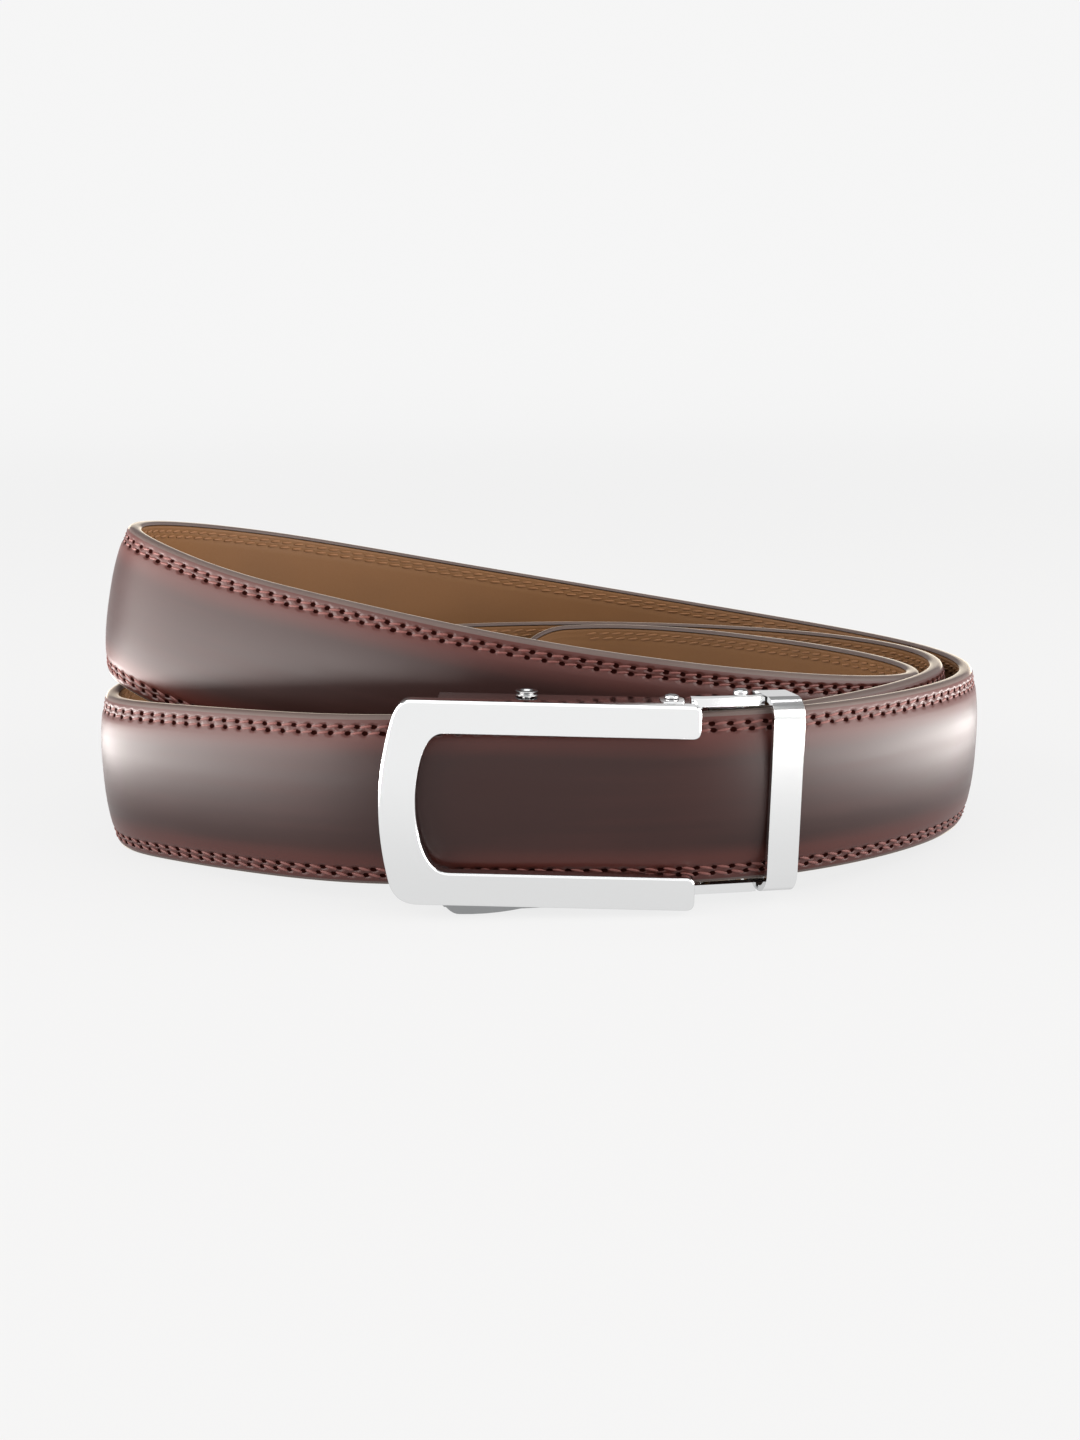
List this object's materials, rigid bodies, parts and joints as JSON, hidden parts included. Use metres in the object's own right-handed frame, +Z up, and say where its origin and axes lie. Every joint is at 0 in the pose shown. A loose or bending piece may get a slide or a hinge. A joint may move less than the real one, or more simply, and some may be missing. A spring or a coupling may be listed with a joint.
{
  "type": "dress belt",
  "caption": "Men's leather dress belt coiled on its edge and fastened with an open-frame ratchet buckle, with rails, keeper loop and release lever.",
  "frame": {"origin": "on the surface the coil stands on, under the middle of the bounding box", "axes": "+X along the front of the coil from the buckle frame's closed end to the keeper, +Y from the buckle to the back of the coil, +Z up"},
  "size_m": [0.2056, 0.1554, 0.0716],
  "materials": {
    "strap_leather": "glossy dark mahogany brown, padded and stitched, painted edges",
    "lining_leather": "matte tan",
    "buckle_chrome": "mirror polished",
    "mechanism_steel": "bright satin"
  },
  "bodies": {
    "belt": {"strap": "strap_leather", "lining": "lining_leather", "frame": "buckle_chrome", "housing": "buckle_chrome", "frame_pin_top": "buckle_chrome", "frame_pin_bottom": "buckle_chrome", "jaw": "mechanism_steel", "jaw_pin": "buckle_chrome", "keeper": "buckle_chrome"},
    "lever": {"release_lever": "mechanism_steel", "lever_pin": "buckle_chrome"}
  },
  "joints": [
    {"name": "release_hinge", "type": "hinge", "parent": "belt", "child": "lever", "pos_m": [-0.00365, -0.06571, 0.02301], "axis": [0.0384, 0.0279, 0.9989], "range_deg": [-13, 0], "stiffness_Nm_per_rad": 0.02, "springref_deg": 5.73}
  ]
}
